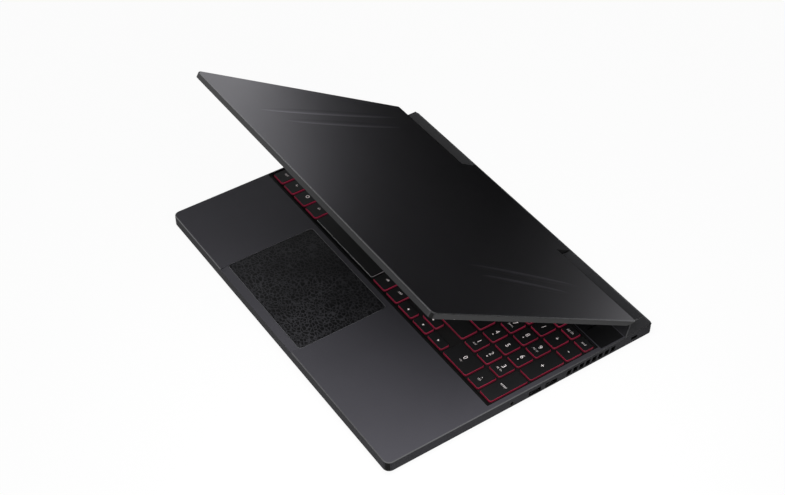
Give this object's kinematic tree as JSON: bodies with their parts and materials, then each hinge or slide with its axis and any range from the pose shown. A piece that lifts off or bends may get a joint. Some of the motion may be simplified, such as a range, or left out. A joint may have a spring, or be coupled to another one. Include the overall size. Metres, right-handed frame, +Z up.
{
  "type": "laptop computer",
  "caption": "Dark wide laptop computer with a lid on a central rear hinge, full keyboard with number pad, touchpad, side sockets and vents, and cooling fans inside.",
  "frame": {"origin": "middle of the base's footprint, at the height of the table under the feet", "axes": "+X to the user's right, +Y to the rear where the hinge is, +Z up"},
  "size_m": [0.36, 0.278, 0.1657],
  "materials": {
    "case_metal": "dark charcoal satin coat",
    "case_plastic": "dark charcoal satin",
    "panel_plastic": "fine matt black",
    "key_plastic": "soft matt black with white legends and a red rim",
    "post_rubber": "moulded",
    "sheet_metal": "matt black",
    "light_sheet": "clear red",
    "touch_surface": "smooth satin",
    "socket_steel": "plated",
    "jack_plastic": "moulded black",
    "circuit_board": "solder mask",
    "chip_package": "polished package",
    "copper": "bare copper",
    "battery_wrap": "black wrap",
    "inner_plastic": "moulded black",
    "fin_metal": "thin fins",
    "hinge_steel": "plain steel",
    "foot_rubber": "soft black",
    "bezel_plastic": "fine matt black",
    "screen_glass": "dark screen, switched off",
    "lens": "dark lens"
  },
  "bodies": {
    "base": {"top_case": "case_metal", "bottom_cover": "case_plastic", "rear_cover": "case_plastic", "rear_deck_panel": "panel_plastic", "keyboard_plate": "sheet_metal", "keyboard_backlight": "light_sheet", "key_posts": "post_rubber", "touchpad_bracket": "sheet_metal", "audio_jack": "jack_plastic", "usb_socket_right_front": "socket_steel", "usb_socket_right_rear": "socket_steel", "usb_socket_left": "socket_steel", "video_socket": "socket_steel", "power_inlet": "socket_steel", "port_board": "circuit_board", "mainboard": "circuit_board", "processor_chips": "chip_package", "cooling_plate": "copper", "heat_pipes": "copper", "battery_pack": "battery_wrap", "memory_modules": "circuit_board", "solid_state_drive": "circuit_board", "wireless_card": "circuit_board", "rubber_feet": "foot_rubber", "bottom_screws": "hinge_steel", "fan_housing_left": "inner_plastic", "fan_housing_right": "inner_plastic", "radiator_left": "fin_metal", "radiator_right": "fin_metal", "speaker_left": "inner_plastic", "speaker_right": "inner_plastic", "hinge_bracket_left": "hinge_steel", "hinge_bracket_right": "hinge_steel"},
    "lid": {"lid_cover": "case_metal", "hinge_trim": "case_plastic", "screen_bezel": "bezel_plastic", "display_panel": "screen_glass", "webcam_module": "lens", "lid_bumpers": "foot_rubber", "hinge_arm_left": "hinge_steel", "hinge_arm_right": "hinge_steel"},
    "fan_rotor_left": {"fan_rotor_left": "inner_plastic"},
    "fan_rotor_right": {"fan_rotor_right": "inner_plastic"},
    "touchpad": {"touchpad": "touch_surface"},
    "power_button": {"power_button": "panel_plastic"},
    "function_row_keys": {"function_row_keys": "key_plastic"},
    "number_row_keys": {"number_row_keys": "key_plastic"},
    "upper_letter_keys": {"upper_letter_keys": "key_plastic"},
    "home_letter_keys": {"home_letter_keys": "key_plastic"},
    "lower_letter_keys": {"lower_letter_keys": "key_plastic"},
    "modifier_keys": {"modifier_keys": "key_plastic"},
    "number_pad_keys": {"number_pad_keys": "key_plastic"},
    "arrow_keys": {"arrow_keys": "key_plastic"},
    "space_bar": {"space_bar": "key_plastic"},
    "enter_key": {"enter_key": "key_plastic"},
    "left_shift_key": {"left_shift_key": "key_plastic"},
    "right_shift_key": {"right_shift_key": "key_plastic"}
  },
  "joints": [
    {"name": "lid_hinge", "type": "hinge", "parent": "base", "child": "lid", "pos_m": [0, 0.1314, 0.0204], "axis": [-1, 0, 0], "range_deg": [-31.7, 93.3]},
    {"name": "fan_spin_left", "type": "hinge", "parent": "base", "child": "fan_rotor_left", "pos_m": [-0.13253, 0.08203, 0.0072], "axis": [0, 0, 1], "continuous": true},
    {"name": "fan_spin_right", "type": "hinge", "parent": "base", "child": "fan_rotor_right", "pos_m": [0.13253, 0.08203, 0.0072], "axis": [0, 0, 1], "continuous": true},
    {"name": "touchpad_click", "type": "hinge", "parent": "base", "child": "touchpad", "pos_m": [-0.0275, -0.0422, 0.01655], "axis": [1, 0, 0], "range_deg": [0, 0.4], "stiffness_Nm_per_rad": 15, "springref_deg": -0.11},
    {"name": "power_button_press", "type": "slide", "parent": "base", "child": "power_button", "axis": [0, 0, -1], "range_m": [0, 0.0006], "stiffness_N_per_m": 1500, "springref_m": -0.0003},
    {"name": "function_row_keys_press", "type": "slide", "parent": "base", "child": "function_row_keys", "axis": [0, 0, -1], "range_m": [0, 0.0012], "stiffness_N_per_m": 500, "springref_m": -0.0004},
    {"name": "number_row_keys_press", "type": "slide", "parent": "base", "child": "number_row_keys", "axis": [0, 0, -1], "range_m": [0, 0.0012], "stiffness_N_per_m": 500, "springref_m": -0.0004},
    {"name": "upper_letter_keys_press", "type": "slide", "parent": "base", "child": "upper_letter_keys", "axis": [0, 0, -1], "range_m": [0, 0.0012], "stiffness_N_per_m": 500, "springref_m": -0.0004},
    {"name": "home_letter_keys_press", "type": "slide", "parent": "base", "child": "home_letter_keys", "axis": [0, 0, -1], "range_m": [0, 0.0012], "stiffness_N_per_m": 500, "springref_m": -0.0004},
    {"name": "lower_letter_keys_press", "type": "slide", "parent": "base", "child": "lower_letter_keys", "axis": [0, 0, -1], "range_m": [0, 0.0012], "stiffness_N_per_m": 500, "springref_m": -0.0004},
    {"name": "modifier_keys_press", "type": "slide", "parent": "base", "child": "modifier_keys", "axis": [0, 0, -1], "range_m": [0, 0.0012], "stiffness_N_per_m": 500, "springref_m": -0.0004},
    {"name": "number_pad_keys_press", "type": "slide", "parent": "base", "child": "number_pad_keys", "axis": [0, 0, -1], "range_m": [0, 0.0012], "stiffness_N_per_m": 500, "springref_m": -0.0004},
    {"name": "arrow_keys_press", "type": "slide", "parent": "base", "child": "arrow_keys", "axis": [0, 0, -1], "range_m": [0, 0.0012], "stiffness_N_per_m": 500, "springref_m": -0.0004},
    {"name": "space_bar_press", "type": "slide", "parent": "base", "child": "space_bar", "axis": [0, 0, -1], "range_m": [0, 0.0012], "stiffness_N_per_m": 500, "springref_m": -0.0004},
    {"name": "enter_key_press", "type": "slide", "parent": "base", "child": "enter_key", "axis": [0, 0, -1], "range_m": [0, 0.0012], "stiffness_N_per_m": 500, "springref_m": -0.0004},
    {"name": "left_shift_key_press", "type": "slide", "parent": "base", "child": "left_shift_key", "axis": [0, 0, -1], "range_m": [0, 0.0012], "stiffness_N_per_m": 500, "springref_m": -0.0004},
    {"name": "right_shift_key_press", "type": "slide", "parent": "base", "child": "right_shift_key", "axis": [0, 0, -1], "range_m": [0, 0.0012], "stiffness_N_per_m": 500, "springref_m": -0.0004}
  ]
}
